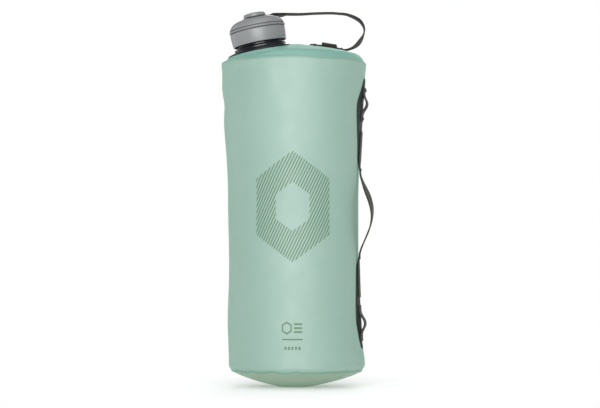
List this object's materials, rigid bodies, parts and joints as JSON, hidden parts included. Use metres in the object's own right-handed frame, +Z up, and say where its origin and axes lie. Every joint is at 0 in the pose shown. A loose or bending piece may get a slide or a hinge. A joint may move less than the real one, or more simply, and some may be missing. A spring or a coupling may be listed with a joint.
{
  "type": "folding water bottle",
  "caption": "Collapsible soft-film water bottle with a tilted wide-mouth screw cap, webbing tether and side carrying strap.",
  "frame": {"origin": "centre of the flat disc under the bottle, which it stands on", "axes": "+Z up along the body, -Y is the printed front, +X the side with the carrying strap; the neck leans towards -X"},
  "size_m": [0.119, 0.113, 0.2959],
  "materials": {
    "film": "satin translucent sea-green film",
    "end_film": "satin film, a deeper green",
    "neck_black": "glossy black moulding",
    "cap_grey": "satin grey moulding",
    "ring_grey": "satin darker grey moulding",
    "silicone": "soft silicone",
    "webbing": "flat woven nylon webbing",
    "patch": "coated woven patch",
    "thread": "bonded nylon thread"
  },
  "bodies": {
    "base": {"bottom_panel": "film", "side_film": "film", "upper_patch": "patch", "lower_patch": "patch", "upper_lash_strap": "webbing", "lower_lash_strap": "webbing", "upper_lash_bartack_low": "thread", "upper_lash_bartack_high": "thread", "lower_lash_bartack_low": "thread", "lower_lash_bartack_high": "thread", "handle_bartack_low": "thread", "handle_bartack_high": "thread"},
    "top": {"top_panel": "end_film", "neck_spout": "neck_black", "tether_anchor_patch": "patch", "tether_keeper": "webbing", "tether_strap": "webbing", "tether_bartack_inner": "thread", "tether_bartack_outer": "thread"},
    "tether_end": {"tether_eye": "neck_black", "tether_bartack_eye": "thread"},
    "cap": {"cap_shell": "cap_grey", "cap_ring": "ring_grey", "cap_gasket": "silicone", "tether_button": "cap_grey"},
    "handle": {"handle_strap": "webbing"}
  },
  "joints": [
    {"name": "body_collapse", "type": "slide", "parent": "base", "child": "top", "axis": [0, 0, -1], "range_m": [0, 0.1819], "deforming": ["side_film", "upper_patch", "lower_patch", "upper_lash_strap", "lower_lash_strap", "handle_strap", "upper_lash_bartack_low", "upper_lash_bartack_high", "lower_lash_bartack_low", "lower_lash_bartack_high", "handle_bartack_low", "handle_bartack_high"]},
    {"name": "cap_lift", "type": "slide", "parent": "top", "child": "tether_end", "axis": [-0.1908, 0, 0.9816], "range_m": [0, 0.006], "deforming": ["tether_strap"]},
    {"name": "cap_turn", "type": "hinge", "parent": "tether_end", "child": "cap", "pos_m": [-0.0266, 0, 0.2646], "axis": [-0.1908, 0, 0.9816], "range_deg": [0, 540]},
    {"name": "handle_swing", "type": "hinge", "parent": "base", "child": "handle", "pos_m": [0.05092, -0.00898, 0.1355], "axis": [0, 0, 1], "range_deg": [-45, 45]}
  ],
  "couplings": [
    {"joint": "cap_lift", "follows": "cap_turn", "m_per_rad": 0.00063662}
  ]
}
